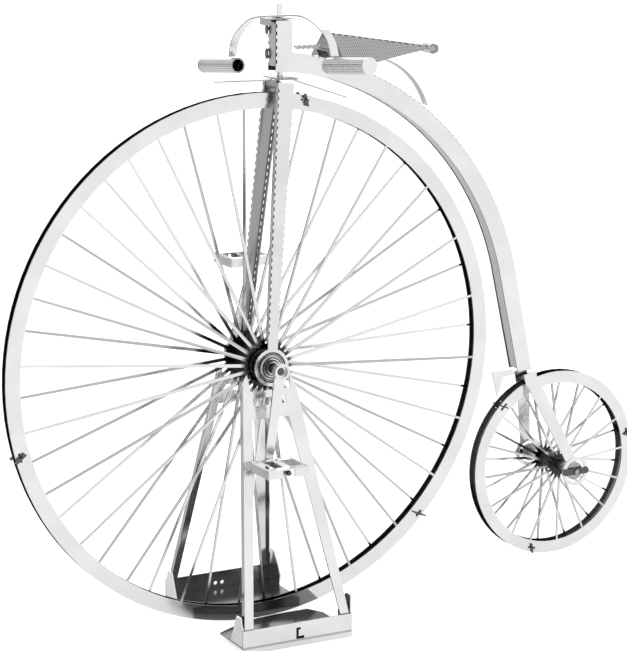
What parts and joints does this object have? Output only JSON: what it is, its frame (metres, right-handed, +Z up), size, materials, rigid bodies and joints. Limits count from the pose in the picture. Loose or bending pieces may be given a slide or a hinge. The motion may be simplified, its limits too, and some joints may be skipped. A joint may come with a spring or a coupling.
{
  "type": "high wheel bicycle model",
  "caption": "Small folded-steel model of a high-wheel bicycle on its display stand, with turning wheels, cranks, pedals and steering.",
  "frame": {"origin": "on the ground, under the middle of the whole model's box", "axes": "+X towards the small rear wheel, +Y to the rider's right, +Z up"},
  "size_m": [0.1302, 0.0622, 0.1117],
  "materials": {
    "polished_steel": "mirror-bright stainless sheet",
    "shaded_steel": "plain stainless sheet, edge-on and in shade",
    "brushed_steel": "satin stainless sheet"
  },
  "bodies": {
    "fork_and_stand": {"stand_tray_left": "polished_steel", "stand_tray_right": "polished_steel", "stand_frame_left": "polished_steel", "stand_frame_right": "polished_steel", "stand_gusset_front_left": "brushed_steel", "stand_gusset_front_right": "brushed_steel", "stand_gusset_rear_left": "brushed_steel", "stand_gusset_rear_right": "brushed_steel", "fork_leg_left": "brushed_steel", "fork_leg_right": "brushed_steel", "fork_crown": "shaded_steel", "steering_post": "shaded_steel", "handlebar_clamp": "shaded_steel", "tyre_guard_front": "polished_steel", "tyre_guard_rear": "polished_steel", "handlebar": "polished_steel", "bar_key": "polished_steel", "grip_left": "polished_steel", "grip_right": "polished_steel", "grip_cap_left": "polished_steel", "grip_cap_right": "polished_steel"},
    "front_wheel": {"front_rim_left": "polished_steel", "front_rim_right": "polished_steel", "front_axle": "polished_steel", "crank_left": "polished_steel", "crank_right": "polished_steel", "front_rim_tab_1": "shaded_steel", "front_rim_tab_2": "shaded_steel", "front_rim_tab_3": "shaded_steel", "front_hub_barrel": "shaded_steel", "front_hub_cap_left": "shaded_steel", "front_hub_cap_right": "shaded_steel", "pedal_pin_left": "shaded_steel", "pedal_pin_right": "shaded_steel"},
    "pedal_left": {"pedal_left_cage": "polished_steel", "pedal_left_barrel": "shaded_steel"},
    "pedal_right": {"pedal_right_cage": "polished_steel", "pedal_right_barrel": "shaded_steel"},
    "backbone": {"backbone_channel": "brushed_steel", "saddle_top": "brushed_steel", "saddle_tail_roll": "brushed_steel", "backbone_underside": "shaded_steel", "head_front": "shaded_steel", "saddle_mount": "shaded_steel", "saddle_spring": "shaded_steel", "saddle_front_spring": "shaded_steel", "rear_axle": "shaded_steel", "rear_axle_key_left": "shaded_steel", "rear_axle_key_right": "shaded_steel", "mounting_step": "polished_steel", "rear_fork_left": "polished_steel", "rear_fork_right": "polished_steel"},
    "rear_wheel": {"rear_rim_left": "polished_steel", "rear_rim_right": "polished_steel", "rear_rim_tab_1": "shaded_steel", "rear_rim_tab_2": "shaded_steel", "rear_rim_tab_3": "shaded_steel", "rear_hub_barrel": "shaded_steel"}
  },
  "joints": [
    {"name": "front_wheel_spin", "type": "hinge", "parent": "fork_and_stand", "child": "front_wheel", "pos_m": [-0.01713, 0.00076, 0.0485], "axis": [0, 1, 0], "continuous": true},
    {"name": "pedal_left_spin", "type": "hinge", "parent": "front_wheel", "child": "pedal_left", "pos_m": [-0.01941, -0.01289, 0.03226], "axis": [0, 1, 0], "continuous": true},
    {"name": "pedal_right_spin", "type": "hinge", "parent": "front_wheel", "child": "pedal_right", "pos_m": [-0.01316, 0.01441, 0.06441], "axis": [0, 1, 0], "continuous": true},
    {"name": "steering", "type": "hinge", "parent": "fork_and_stand", "child": "backbone", "pos_m": [-0.01268, 0.00076, 0.0988], "axis": [0, 0, 1], "range_deg": [-20, 20]},
    {"name": "rear_wheel_spin", "type": "hinge", "parent": "backbone", "child": "rear_wheel", "pos_m": [0.04707, 0.00076, 0.0219], "axis": [0, 1, 0], "continuous": true}
  ]
}
